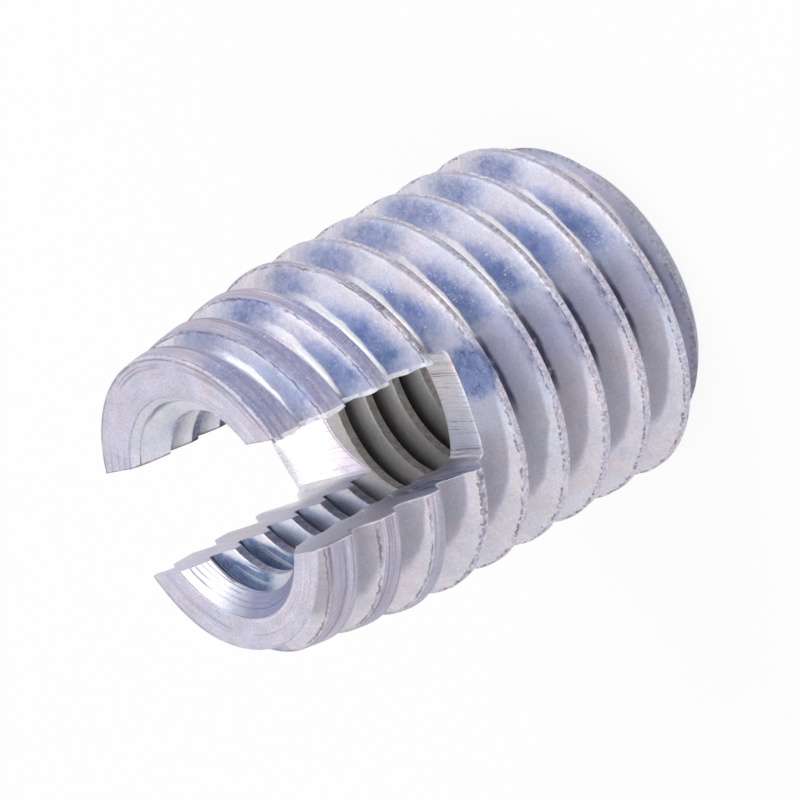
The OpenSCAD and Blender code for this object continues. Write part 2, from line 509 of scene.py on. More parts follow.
class Graph:
    """Adds nodes to one node tree and joins them up."""

    def __init__(self, tree):
        self.tree = tree

    def node(self, kind, **fields):
        made = self.tree.nodes.new(kind)
        for name, value in fields.items():
            setattr(made, name, value)
        return made

    def put(self, socket, value):
        """Links a socket, or sets a constant on it."""
        if isinstance(value, bpy.types.NodeSocket):
            self.tree.links.new(value, socket)
        elif value is not None:
            socket.default_value = value

    def math(self, operation, a, b=None, c=None):
        made = self.node("ShaderNodeMath", operation=operation)
        for socket, value in zip(made.inputs, (a, b, c)):
            self.put(socket, value)
        return made.outputs[0]

    def add(self, a, b):
        return self.math("ADD", a, b)

    def times(self, *factors):
        total = factors[0]
        for factor in factors[1:]:
            total = self.math("MULTIPLY", total, factor)
        return total

    def less(self, a, b):
        return self.math("SUBTRACT", a, b)

    def size(self, value):
        return self.math("ABSOLUTE", value)

    def most(self, *values):
        """The largest of the values."""
        found = values[0]
        for value in values[1:]:
            found = self.math("MAXIMUM", found, value)
        return found

    def line(self, value, slope, start):
        """A value that grows with another one by a slope, from a start."""
        return self.add(self.times(value, slope), start)

    def step(self, value, low, high):
        """0 at low, 1 at high and a soft rise between them. High may be the smaller of the two."""
        made = self.node("ShaderNodeMapRange", interpolation_type="SMOOTHSTEP")
        for name, setting in (("Value", value), ("From Min", low), ("From Max", high)):
            self.put(made.inputs[name], setting)
        return made.outputs[0]

    def band(self, value, low, high, soft):
        """1 between low and high, with edges as wide as soft."""
        return self.times(self.step(value, low - soft / 2, low + soft / 2),
                          self.step(value, high + soft / 2, high - soft / 2))

    def noise(self, place, scale, detail=2.0, roughness=0.5):
        """Noise from 0 to 1 round about 0.5."""
        made = self.node("ShaderNodeTexNoise")
        self.put(made.inputs["Vector"], place)
        for name, setting in (("Scale", scale), ("Detail", detail), ("Roughness", roughness)):
            self.put(made.inputs[name], setting)
        return made.outputs["Fac"]

    def patches(self, place, scale, low, high, detail=2.0, roughness=0.5):
        """Soft patches of noise: 0 where it is under low and 1 where it is over high."""
        return self.step(self.noise(place, scale, detail, roughness), low, high)

    def wander(self, place, scale, amount, detail=2.0):
        """Noise about zero: plus or minus the amount at the most."""
        return self.times(self.add(self.noise(place, scale, detail), -0.5), 2 * amount)

    def blend(self, factor, a, b, kind="MIX"):
        made = self.node("ShaderNodeMix", data_type="RGBA", blend_type=kind)
        self.put(made.inputs[0], factor)
        for socket, value in ((made.inputs[6], a), (made.inputs[7], b)):
            self.put(socket, (*value, 1) if isinstance(value, tuple) and len(value) == 3 else value)
        return made.outputs[2]

    def layers(self, base, *coats):
        """Paints coats over a base colour, each a colour and its mask."""
        for colour, mask in coats:
            base = self.blend(mask, base, colour)
        return base

    def stretch(self, vector, factors):
        """A vector with each of its parts scaled by a factor of its own."""
        made = self.node("ShaderNodeVectorMath", operation="MULTIPLY")
        self.put(made.inputs[0], vector)
        made.inputs[1].default_value = factors
        return made.outputs[0]

    def spot(self, place, centre, factors, radius, soft):
        """1 round a point. Factors over 1 make the spot narrower along that axis."""
        away = self.node("ShaderNodeVectorMath", operation="SUBTRACT")
        self.put(away.inputs[0], place)
        away.inputs[1].default_value = centre
        far = self.node("ShaderNodeVectorMath", operation="LENGTH")
        self.put(far.inputs[0], self.stretch(away.outputs[0], factors))
        return self.step(far.outputs["Value"], radius + soft / 2, radius - soft / 2)

    def join(self, x, y, z):
        made = self.node("ShaderNodeCombineXYZ")
        for socket, value in zip(made.inputs, (x, y, z)):
            self.put(socket, value)
        return made.outputs[0]

    def split(self, vector):
        made = self.node("ShaderNodeSeparateXYZ")
        self.put(made.inputs[0], vector)
        return made.outputs

    def group(self, name, **inputs):
        """Places a shared group. An input Crest_height is the socket Crest height."""
        made = self.node("ShaderNodeGroup", node_tree=bpy.data.node_groups[name])
        for label, value in inputs.items():
            if isinstance(value, tuple) and len(value) == 3:
                value = (*value, 1)
            self.put(made.inputs[label.replace("_", " ")], value)
        return made.outputs


def new_group(name, inputs, outputs):
    """An empty node group with named sockets: each is a name, a kind and, for inputs, a default."""
    tree = bpy.data.node_groups.new(name, "ShaderNodeTree")
    kinds = {"number": "NodeSocketFloat", "colour": "NodeSocketColor", "vector": "NodeSocketVector"}
    for label, kind, default in inputs:
        socket = tree.interface.new_socket(name=label, in_out="INPUT", socket_type=kinds[kind])
        if default is not None:
            socket.default_value = default
    for label, kind in outputs:
        tree.interface.new_socket(name=label, in_out="OUTPUT", socket_type=kinds[kind])
    graph = Graph(tree)
    start = graph.node("NodeGroupInput").outputs
    end = graph.node("NodeGroupOutput").inputs
    return graph, start, end


def thread_place_group():
    """Where a point is on a thread: angle in degrees, radius, height and distance from a crest."""
    g, start, end = new_group(
        "thread_place",
        [("Place", "vector", None), ("Pitch", "number", 1.5), ("Crest height", "number", 1.45)],
        [("Angle", "number"), ("Radius", "number"), ("Height", "number"), ("Offset", "number")])
    x, y, z = g.split(start["Place"])
    angle = g.times(g.math("ARCTAN2", y, x), 180 / math.pi)
    turns = g.add(g.math("DIVIDE", g.less(z, start["Crest height"]), start["Pitch"]),
                  g.times(angle, -1 / 360))
    g.put(end["Angle"], angle)
    g.put(end["Radius"], g.math("SQRT", g.add(g.times(x, x), g.times(y, y))))
    g.put(end["Height"], z)
    g.put(end["Offset"], g.times(g.less(turns, g.math("ROUND", turns)), start["Pitch"]))


def grain_group():
    """The plating's fine mottling, in colour and in height."""
    g, start, end = new_group(
        "plating_grain",
        [("Place", "vector", None), ("Colour", "colour", (0.5, 0.5, 0.5, 1)),
         ("Scale", "number", 9.0), ("Amount", "number", 0.2)],
        [("Colour", "colour"), ("Height", "number")])
    fine = g.noise(start["Place"], g.times(start["Scale"], 2.2), 2.0, 0.7)
    middle = g.noise(start["Place"], start["Scale"], 3.0, 0.65)
    cloud = g.noise(start["Place"], g.times(start["Scale"], 0.16), 3.0, 0.6)
    height = g.add(g.add(g.times(fine, 0.45), g.times(middle, 0.28)), g.times(cloud, 0.27))
    level = g.add(g.times(g.add(height, -0.5), g.times(start["Amount"], 5.0)), 1.0)
    tone = g.noise(start["Place"], g.times(start["Scale"], 0.12), 2.0, 0.5)
    tint = g.blend(g.step(tone, 0.35, 0.65), (0.962, 1.0, 1.022), (1.022, 0.992, 0.982))
    grey = g.blend(1.0, start["Colour"], tint, "MULTIPLY")
    scaled = g.node("ShaderNodeVectorMath", operation="SCALE")
    g.put(scaled.inputs[0], grey)
    g.put(scaled.inputs["Scale"], level)
    g.put(end["Colour"], scaled.outputs[0])
    g.put(end["Height"], height)


def film_and_shade_group():
    """The blue passivate film, also used for painted shade and reflections: a soft mask with a streaky edge,
    clouds and a pale painted sparkle inside it.
    """
    g, start, end = new_group(
        "passivate_film",
        [("Place", "vector", None), ("Under", "colour", (0.6, 0.6, 0.66, 1)),
         ("Film", "colour", (0.2, 0.25, 0.5, 1)), ("Deep", "colour", (0.12, 0.15, 0.38, 1)),
         ("Mask", "number", 0.0), ("Sparkle", "number", 0.5)],
        [("Colour", "colour"), ("Mask", "number")])
    flow = g.stretch(start["Place"], (0.5, 0.5, 1.0))
    rough = g.add(g.noise(flow, 9.0, 4.0, 0.7), -0.5)
    inside = g.step(start["Mask"], 0.0, 0.25)
    cover = g.add(start["Mask"], g.times(rough, inside, 1.5))
    cover = g.most(g.math("MINIMUM", cover, 1.0), 0.0)
    clouds = g.patches(flow, 2.8, 0.40, 0.66, 3.0, 0.6)
    film = g.blend(g.times(clouds, start["Mask"], 0.85), start["Film"], start["Deep"])
    teal = g.patches(start["Place"], 1.1, 0.52, 0.68)
    film = g.blend(g.times(teal, start["Mask"], 0.3), film, shade(104, 156, 190))
    spark = g.times(g.patches(start["Place"], 15.0, 0.62, 0.72, 1.0),
                    g.patches(start["Place"], 1.3, 0.46, 0.62), start["Sparkle"])
    colour = g.blend(spark, film, shade(226, 230, 242))
    g.put(end["Colour"], g.blend(cover, start["Under"], colour))
    g.put(end["Mask"], cover)


def specks_group():
    """Small dark specks of dirt and torn plating inside a mask."""
    g, start, end = new_group(
        "dirt_specks",
        [("Place", "vector", None), ("Mask", "number", 1.0), ("Scale", "number", 10.0),
         ("Cover", "number", 0.3)],
        [("Mask", "number")])
    spots = g.noise(start["Place"], start["Scale"], 3.0, 0.7)
    clumps = g.noise(start["Place"], g.times(start["Scale"], 0.22), 2.0, 0.5)
    level = g.add(g.times(spots, 0.7), g.times(clumps, 0.3))
    low = g.less(0.72, g.times(start["Cover"], 0.3))
    found = g.step(level, low, g.add(low, 0.1))
    g.put(end["Mask"], g.times(found, start["Mask"]))


def lines_group():
    """Tool lines: ridges across one coordinate that wander a little along the surface."""
    g, start, end = new_group(
        "tool_lines",
        [("Place", "vector", None), ("Across", "number", 0.0), ("Density", "number", 8.0),
         ("Wander", "number", 0.02)],
        [("Height", "number"), ("Dark", "number"), ("Bright", "number")])
    drift = g.times(g.add(g.noise(start["Place"], 0.9, 1.0), -0.5), start["Wander"])
    line = g.times(g.add(start["Across"], drift), start["Density"])
    x, y, _ = g.split(start["Place"])
    where = g.join(line, g.times(x, 0.15), g.times(y, 0.15))
    height = g.noise(where, 1.0, 3.0, 0.7)
    g.put(end["Height"], height)
    g.put(end["Dark"], g.step(height, 0.47, 0.36))
    g.put(end["Bright"], g.step(height, 0.54, 0.66))


# ---------------------------------------------------------------- finishes


def finish(name, metallic):
    """A material with its graph, its shader and the place on the surface in mm."""
    mat = bpy.data.materials.new(name)
    mat.use_nodes = True
    g = Graph(mat.node_tree)
    shader = mat.node_tree.nodes["Principled BSDF"]
    shader.inputs["Metallic"].default_value = metallic
    scale = g.node("ShaderNodeVectorMath", operation="SCALE")
    g.put(scale.inputs[0], g.node("ShaderNodeTexCoord").outputs["Object"])
    scale.inputs["Scale"].default_value = 1 / MM
    return mat, g, shader, scale.outputs[0]


def relief(g, shader, height, depth):
    """Bump on a shader: height 0 to 1 stands for a depth in mm."""
    bump = g.node("ShaderNodeBump")
    bump.inputs["Strength"].default_value = 1.0
    bump.inputs["Distance"].default_value = depth * MM
    g.put(bump.inputs["Height"], height)
    g.put(shader.inputs["Normal"], bump.outputs[0])


def plated(g, shader, place, colour, scale, amount, rough, span, *more):
    """Lays the plating's grain over a colour, and roughens the gloss with it and with what else is
    given. Gives the grain's height.
    """
    grain = g.group("plating_grain", Place=place, Colour=colour, Scale=scale, Amount=amount)
    g.put(shader.inputs["Base Color"], grain["Colour"])
    rough = g.line(grain["Height"], span, rough)
    for part in more:
        rough = g.add(rough, part)
    g.put(shader.inputs["Roughness"], rough)
    return grain["Height"]


def folded_angle(g, angle, place):
    """The angle with a ragged edge, folded so that the back repeats the front's pattern."""
    ragged = g.add(angle, g.wander(place, 0.55, 12.0, 3.0))
    return g.add(g.math("FLOORED_MODULO", g.add(ragged, 86.0), 180.0), -86.0)


def slot_edge(g, place, side):
    """1 in a narrow ragged line along the slot's upper (side 1) or lower (side -1) wall."""
    s = sizes()
    x, y, z = g.split(place)
    lean = math.tan(s.slot_lean)
    middle = g.add(g.times(z, lean), s.slot_offset - s.length * lean)
    sag = g.times(g.step(x, SAG_START, SAG_START - SAG_WIDTH), s.far_sag if side > 0 else 0.0)
    gap = g.add(g.times(g.less(y, middle), side), g.add(sag, -s.slot_width / 2))
    ragged = g.add(gap, g.wander(place, 6.0, 0.02))
    bottom = s.length - s.slot_depth + 0.55
    return g.times(g.band(ragged, -0.3, 0.05, 0.03), g.step(z, bottom, bottom + 0.2),
                   g.patches(place, 2.5, 0.30, 0.52))


def flank_colour(g, place, angle, signed, front, towards):
    """The thread's flanks: pale and cream, with painted grey shade low down, two blue films above painted as
    a reflection of dark surroundings, and a painted highlight and a painted dark reflection in the root.
    """
    off = g.size(signed)
    plain = g.blend(g.patches(place, 0.5, 0.38, 0.62, 3.0, 0.6), paint("flank"),
                    shade(211, 213, 227))
    plain = g.layers(plain, (shade(229, 224, 233), g.step(angle, -8.0, -26.0)),
                     (shade(233, 232, 238), g.step(signed, -0.08, -0.2)))
    # Painted shade: grey on the lower side of the flank, with a rounded lower end
    reach = g.less(0.62, off)
    lower_end = g.add(g.times(reach, reach, 290.0), -56.0)
    grey = g.times(g.step(g.less(angle, lower_end), -8.0, 9.0), g.step(angle, 28.0, 12.0),
                   g.step(off, 0.10, 0.22), front)
    warm = g.times(grey, g.step(angle, 4.0, -12.0))
    colour = g.layers(plain, (shade(181, 182, 203), grey), (shade(187, 183, 193), g.times(warm, 0.9)))
    # How far a point is past the line where the root starts to catch the light from above
    nose_groove = g.step(g.split(place)[2], 11.0, 12.4)
    past = g.add(signed, g.add(g.times(angle, 0.0047), g.line(nose_groove, -0.07, -0.785)))
    # The lower film: blue patches painted as a reflection of dark surroundings, pale at its upper end and
    # strongest just over its lower one
    wedge = g.line(angle, 0.0075, 0.03)
    strong = g.step(angle, 58.0, 37.0)
    low = g.times(g.step(g.less(off, wedge), -0.14, 0.16), g.step(past, 0.03, -0.03),
                  g.step(angle, 17.0, 29.0), g.step(angle, 74.0, 44.0), front,
                  g.line(nose_groove, -0.3, 1.0))
    film = g.group("passivate_film", Place=place, Under=colour, Mask=low, Sparkle=0.8,
                   Film=g.blend(strong, shade(176, 182, 214), paint("film")),
                   Deep=g.blend(strong, shade(154, 163, 206), paint("deep_film")))
    # The upper film: more blue patches painted as a reflection of dark surroundings
    high = g.times(g.step(off, 0.02, 0.28), g.step(angle, 57.0, 72.0), g.step(angle, 93.0, 80.0), front)
    film = g.group("passivate_film", Place=place, Under=film["Colour"], Film=shade(156, 163, 200),
                   Deep=shade(122, 132, 178), Mask=g.times(high, 0.9), Sparkle=0.6)
    freckles = g.times(g.step(off, 0.26, 0.14), g.step(angle, -12.0, 2.0), g.step(angle, 24.0, 12.0),
                       front)
    film = g.group("passivate_film", Place=place, Under=film["Colour"], Film=shade(136, 134, 164),
                   Deep=shade(92, 94, 132), Mask=g.times(freckles, 0.75), Sparkle=0.3)
    # The root: a painted highlight above where it catches the light from above, a painted dark reflection
    # below, and a pale coat on the nose grooves' flanks under the highlight
    root = g.step(off, 0.58, 0.66)
    upper = g.times(g.step(angle, 20.0, 26.0), g.step(angle, 76.0, 52.0))
    painted_root_highlight = g.times(g.band(past, 0.0, 0.10, 0.04), upper, g.line(nose_groove, -0.4, 1.0))
    painted_dark_root_reflection = g.times(root, g.step(angle, -26.0, -6.0), g.step(angle, 32.0, 9.0),
                        g.patches(place, 3.0, 0.20, 0.50, 3.0), g.line(towards, 0.64, 0.3))
    colour = g.layers(film["Colour"],
                      (shade(186, 190, 210), g.times(nose_groove, g.step(off, 0.34, 0.5),
                                                     g.step(angle, 24.0, 40.0), 0.5)),
                      (shade(254, 254, 255), painted_root_highlight), (shade(58, 58, 84), painted_dark_root_reflection))
    return colour, painted_root_highlight


def thread_finish():
    """Zinc on the outside thread: filmed flanks with painted shade, reflections and highlights, and rough
    crests with a torn lower lip that also carries a painted highlight.
    """
    s = sizes()
    mat, g, shader, place = finish("zinc_thread", 0.88)
    at = g.group("thread_place", Place=place, Pitch=s.pitch, Crest_height=s.crest_height)
    angle = folded_angle(g, at["Angle"], place)
    signed = g.add(at["Offset"], g.wander(place, 1.4, 0.05))
    front = g.add(g.times(g.step(signed, -0.12, 0.06), g.step(at["Height"], 0.6, 1.1), 0.88), 0.12)
    taper = g.add(g.times(at["Height"], -math.tan(s.nose_angle)),
                  s.nose_radius + s.length * math.tan(s.nose_angle))
    under_taper = g.less(at["Radius"], taper)
    land = g.step(under_taper, -0.05, -0.015)
    threaded = g.less(1.0, land)
    towards = g.step(g.size(at["Angle"]), 130.0, 80.0)
    colour, painted_root_highlight = flank_colour(g, place, angle, signed, front, towards)

    # The crest: a rough pale band, brown where it starts to turn down
    across = g.add(at["Offset"], g.wander(place, 3.0, 0.02, 3.0))
    mottle = g.patches(place, 8.0, 0.36, 0.62, 3.0, 0.7)
    crest = g.times(g.band(across, -0.11, 0.095, 0.03), threaded)
    brown = g.times(g.band(across, -0.12, 0.035, 0.03), g.step(angle, 17.0, 27.0), g.step(angle, 58.0, 44.0),
                    threaded)
    band_tone = g.blend(mottle, shade(190, 185, 200), paint("crest"))
    brown_tone = g.blend(mottle, shade(158, 152, 162), paint("worn_crest"))
    # Its lower lip: a painted highlight on the upper side, a broken dark line further down
    painted_lip_highlight = g.times(g.band(across, 0.055, 0.11, 0.03), g.step(angle, 9.0, 20.0),
                         g.step(angle, 46.0, 30.0), g.patches(place, 9.0, 0.32, 0.52), threaded)
    dark_lip = g.times(g.band(g.add(across, g.wander(place, 6.0, 0.03, 3.0)), 0.10, 0.13, 0.04),
                       g.step(angle, 30.0, 14.0), g.patches(place, 5.0, 0.40, 0.62, 3.0, 0.7),
                       threaded)
    # Painted shade that dims the soft box's highlight on the crests' front rounding
    painted_lip_shade = g.times(g.band(across, 0.04, 0.12, 0.04), g.step(angle, 26.0, 38.0),
                        g.step(angle, 90.0, 70.0), threaded)
    last_groove = g.times(g.step(at["Height"], 1.1, 0.4), threaded)
    colour = g.layers(colour, (shade(158, 158, 182), g.times(last_groove, 0.75)),
                      (band_tone, g.times(crest, 0.9)), (shade(172, 170, 186), g.times(painted_lip_shade, 0.85)),
                      (brown_tone, g.times(brown, 0.85)),
                      (shade(240, 240, 247), g.times(painted_lip_highlight, 0.8)),
                      (shade(104, 98, 122), g.times(dark_lip, 0.9)))
    # The taper's lands keep the lathe's marks, and their edges are torn
    lathe = g.group("tool_lines", Place=place, Across=at["Height"], Density=11.0, Wander=0.06)
    land_tone = g.layers(paint("land"), (shade(150, 144, 166), lathe["Dark"]),
                         (shade(226, 222, 236), g.times(lathe["Bright"], 0.8)))
    colour = g.layers(colour, (land_tone, g.times(land, 0.85)))
    film = g.group("passivate_film", Place=place, Under=colour, Film=shade(146, 150, 188),
                   Deep=shade(120, 126, 172), Mask=g.times(land, g.band(angle, 22.0, 62.0, 16.0), 0.6),
                   Sparkle=0.8)
    land_edge = g.times(g.band(g.add(under_taper, g.wander(place, 6.0, 0.05, 3.0)), -0.085, -0.05, 0.04),
                        g.patches(place, 2.0, 0.30, 0.62, 3.0))
    rear_rim = g.times(g.step(g.less(at["Radius"], at["Height"]), s.rear_radius - 0.22,
                              s.rear_radius - 0.12), g.step(at["Height"], 1.0, 0.8))
    # Painted highlights: along the nose's edge, and along both of the slot's edges on the flanks
    nose_edge = g.times(g.step(at["Height"], s.length - 0.12, s.length - 0.05), g.step(angle, 12.0, 34.0),
                        g.patches(place, 6.0, 0.38, 0.55))
    colour = g.layers(film["Colour"], (shade(112, 106, 124), g.times(land_edge, 0.8)),
                      (shade(246, 246, 250), g.times(nose_edge, 0.9)),
                      (shade(238, 238, 244), g.times(slot_edge(g, place, 1), 0.8)),
                      (shade(238, 238, 244), g.times(slot_edge(g, place, -1), 0.7)))
    # A stain where the slot's floor breaks out on the camera's side
    stain = g.spot(place, (4.6, 0.62, 7.78), (0.6, 1.0, 1.7), 0.72, 0.5)
    film = g.group("passivate_film", Place=place, Under=colour, Film=shade(126, 138, 178),
                   Deep=shade(82, 94, 140), Mask=stain, Sparkle=0.4)
    edge_band = g.times(g.step(g.size(across), 0.20, 0.06), threaded)
    specks = g.group("dirt_specks", Place=place, Scale=11.0, Cover=0.50,
                     Mask=g.times(edge_band, g.patches(place, 0.7, 0.32, 0.54)))
    pits = g.group("dirt_specks", Place=place, Scale=15.0, Cover=0.66, Mask=stain)
    blobs = g.group("dirt_specks", Place=place, Scale=4.5, Cover=0.30,
                    Mask=g.most(g.band(across, 0.02, 0.20, 0.06), rear_rim,
                                g.band(under_taper, -0.16, 0.0, 0.06)))
    marks = g.group("dirt_specks", Place=place, Scale=6.0, Cover=0.22)
    rim_tone = g.blend(mottle, shade(138, 136, 150), shade(180, 177, 190))
    colour = g.layers(film["Colour"], (rim_tone, g.times(rear_rim, 0.8)),
                      (paint("dirt"), g.times(specks["Mask"], 0.8)),
                      (shade(66, 72, 108), g.times(pits["Mask"], 0.7)),
                      (shade(92, 82, 96), g.times(blobs["Mask"], 0.8)),
                      (shade(146, 142, 156), g.times(marks["Mask"], 0.65)))
    grain = plated(g, shader, place, colour, 9.0, 0.24, 0.38, 0.26, g.times(g.most(crest, land), 0.12),
                   g.times(painted_root_highlight, -0.2))
    g.put(shader.inputs["Metallic"], g.line(painted_root_highlight, 0.12, 0.88))
    height = g.add(g.times(grain, 0.45), g.times(lathe["Height"], land, 0.5))
    torn = g.add(g.times(g.most(dark_lip, land_edge), 0.5), g.times(specks["Mask"], 0.15))
    relief(g, shader, g.less(g.add(height, g.times(mottle, crest, 0.3)), torn), 0.026)
    return mat


def face_finish():
    """Zinc on the two end faces: matt and lilac grey, with faint turned arcs, a torn rim and a painted dark
    line along the slot's upper edge.
    """
    s = sizes()
    mat, g, shader, place = finish("zinc_end_face", 0.75)
    at = g.group("thread_place", Place=place, Pitch=s.pitch, Crest_height=s.crest_height)
    arcs = g.group("tool_lines", Place=place, Across=at["Radius"], Density=10.0, Wander=0.05)
    seen = g.patches(place, 0.5, 0.38, 0.58)
    colour = g.layers(paint("end_face"), (shade(164, 158, 180), g.times(arcs["Dark"], seen, 0.7)),
                      (shade(232, 229, 240), g.times(arcs["Bright"], seen, 0.6)))
    dirt = g.group("dirt_specks", Place=place, Scale=7.0, Cover=0.30)
    rim = g.times(g.band(g.add(at["Radius"], g.wander(place, 6.0, 0.02)), s.nose_radius - 0.09,
                         s.nose_radius - 0.04, 0.03), g.patches(place, 1.5, 0.36, 0.54))
    # The dark line along the slot's upper edge is a painted dark reflection of its rolled edge
    colour = g.layers(colour, (shade(150, 143, 162), g.times(dirt["Mask"], 0.7)),
                      (shade(128, 122, 142), g.times(rim, 0.6)),
                      (shade(120, 114, 134), g.times(slot_edge(g, place, 1), 0.7)))
    grain = plated(g, shader, place, colour, 10.0, 0.34, 0.42, 0.2)
    relief(g, shader, g.add(g.times(grain, 0.6), g.times(arcs["Height"], seen, 0.5)), 0.018)
    return mat


def bore_finish():
    """Thin zinc in the threaded bore: blue and streaked near the nose, bare and brown further in, with
    painted shade in its grooves, painted light on the lower countersink and a painted dark line along the
    slot's upper edge.
    """
    s = sizes()
    mat, g, shader, place = finish("zinc_bore", 0.85)
    at = g.group("thread_place", Place=place, Pitch=s.bore_pitch,
                 Crest_height=s.bore_root_height + s.bore_pitch / 2)
    off = g.size(at["Offset"])
    deep = g.step(at["Height"], s.length - 5.2, s.length - 6.6)
    open_part = g.less(1.0, deep)
    outermost = g.step(at["Height"], s.length - 2.9, s.length - 2.2)
    crest = g.step(off, 0.15, 0.11)
    root = g.step(off, 0.36, 0.46)
    mottle = g.patches(place, 6.0, 0.36, 0.64, 3.0, 0.7)
    pale = g.blend(deep, paint("bore"), paint("bare_bore"))
    # Low in the open part each groove is shaded up to a line that falls across it from the far wall
    up_flank = g.line(at["Offset"], -3.2, 1.4)
    line = g.line(up_flank, 40.0, -162.0)
    near_end = g.line(outermost, -26.0, -66.0)
    lens = g.times(g.step(g.less(at["Angle"], line), -5.0, 7.0),
                   g.step(at["Angle"], near_end, g.add(near_end, -18.0)), g.step(at["Offset"], -0.1, 0.05),
                   open_part)
    shaded = g.blend(g.step(up_flank, 0.0, 1.0), shade(140, 150, 174), shade(214, 222, 242))
    colour = g.layers(pale, (shaded, g.times(lens, 0.95)))
    upper_shade = g.times(g.step(up_flank, 0.95, 0.1), g.band(g.split(place)[1], 1.0, 1.5, 0.6), outermost)
    colour = g.layers(colour, (shade(88, 92, 98), upper_shade))
    # In the outermost groove the painted shadow gets the film's blue, with pale streaks
    film = g.group("passivate_film", Place=place, Under=colour, Film=shade(132, 148, 184),
                   Deep=shade(92, 108, 146), Sparkle=0.3, Mask=g.times(lens, outermost))
    streaks = g.group("tool_lines", Place=place, Across=at["Offset"], Density=18.0, Wander=0.1)
    colour = g.layers(film["Colour"],
                      (shade(226, 233, 245), g.times(streaks["Bright"], lens, outermost,
                                                     g.step(up_flank, 0.3, 0.7))))
    open_crest = g.blend(mottle, shade(150, 156, 180), shade(196, 200, 216))
    deep_crest = g.blend(mottle, shade(206, 198, 190), shade(246, 238, 230))
    # Crest tones, and painted shade: dark roots in the open part and near-black ones deep in the bore
    colour = g.layers(colour, (deep_crest, g.times(crest, deep, 0.9)),
                      (open_crest, g.times(crest, open_part, 0.9)),
                      (shade(40, 40, 42), g.times(g.step(off, 0.28, 0.46), deep, 0.9)),
                      (shade(66, 74, 88), g.times(root, open_part, 0.7)))
    # The countersinks: their cones keep one sum of radius and distance to the end face
    cone = g.less(at["Radius"], g.size(g.add(at["Height"], -s.length / 2)))
    mouth = g.step(cone, s.mouth_radius - s.length / 2 + 0.07, s.mouth_radius - s.length / 2 + 0.035)
    lower = g.step(g.split(place)[1], 0.5, -0.5)
    turned = g.add(at["Radius"], g.wander(place, 1.5, 0.02))
    rings = g.most(g.band(turned, 2.995, 3.02, 0.025), g.band(turned, 3.19, 3.22, 0.025))
    for radius, weight in ((2.90, 0.8), (2.79, 0.6), (2.69, 0.8), (2.58, 0.6)):
        ring = g.band(turned, radius - 0.012, radius + 0.012, 0.025)
        rings = g.most(rings, g.times(ring, lower, weight))
    # Painted light on the lower countersink: pale towards -X and darker towards -Y
    lit = g.blend(g.step(at["Angle"], -136.0, -94.0), shade(222, 222, 226), shade(160, 162, 194))
    cone_tone = g.blend(lower, shade(226, 225, 236), lit)
    rings = g.times(rings, g.add(g.times(g.patches(place, 1.2, 0.35, 0.6), 0.6), 0.25))
    cone_tone = g.layers(cone_tone, (shade(120, 116, 138), g.times(rings, 0.8)))
    # The dark line along the slot's upper edge is a painted dark reflection of its rolled edge
    colour = g.layers(colour, (cone_tone, mouth),
                      (shade(104, 100, 114), g.times(slot_edge(g, place, 1), 0.7)))
    grain = plated(g, shader, place, colour, 9.0, 0.22, 0.32, 0.2)
    g.put(shader.inputs["Metallic"], g.line(deep, -0.45, 0.85))
    relief(g, shader, g.add(g.times(grain, 0.4), g.times(rings, mouth, -0.5)), 0.03)
    return mat


def slot_wall_finish():
    """The sawn walls: grainy lilac grey with faint drag lines, torn and blue near the camera side."""
    mat, g, shader, place = finish("zinc_slot_wall", 0.55)
    x, y, z = g.split(place)
    drag = g.group("tool_lines", Place=place, Across=z, Density=5.0, Wander=0.5)
    colour = g.blend(drag["Height"], shade(188, 185, 203), paint("slot_wall"))
    colour = g.layers(colour, (shade(172, 170, 188), g.times(g.step(x, 1.8, 2.8), g.step(z, 8.6, 9.4), 0.8)),
                      (shade(226, 230, 244), g.times(g.step(x, 2.6, 3.4), g.step(z, 8.9, 8.2))))
    torn = g.times(g.step(x, 1.6, 3.0), g.step(z, 11.0, 9.6), g.step(z, 8.0, 8.8), g.step(y, 0.0, -0.5),
                   g.patches(place, 0.8, 0.34, 0.55, 3.0))
    film = g.group("passivate_film", Place=place, Under=colour, Film=shade(158, 168, 202),
                   Deep=shade(90, 104, 152), Mask=torn, Sparkle=0.7)
    scraped = g.group("tool_lines", Place=place, Across=g.add(z, g.times(x, 0.12)), Density=9.0,
                      Wander=0.8)
    bright = g.times(g.step(x, -2.6, -3.6), g.step(z, 9.9, 9.2), g.step(y, 0.0, -0.5))
    tears = g.group("dirt_specks", Place=place, Scale=7.0, Cover=0.55, Mask=torn)
    marks = g.group("dirt_specks", Place=place, Scale=7.0, Cover=0.34)
    colour = g.layers(film["Colour"], (shade(46, 52, 84), g.times(tears["Mask"], 0.7)),
                      (shade(44, 52, 96), g.times(torn, scraped["Dark"], 0.9)),
                      (shade(236, 240, 250), g.times(torn, scraped["Bright"], 0.85)),
                      (shade(142, 138, 158), g.times(marks["Mask"], 0.6)), (shade(250, 246, 252), bright))
    grain = plated(g, shader, place, colour, 9.0, 0.30, 0.30, 0.2)
    relief(g, shader, g.add(grain, g.times(tears["Mask"], -1.0)), 0.016)
    return mat


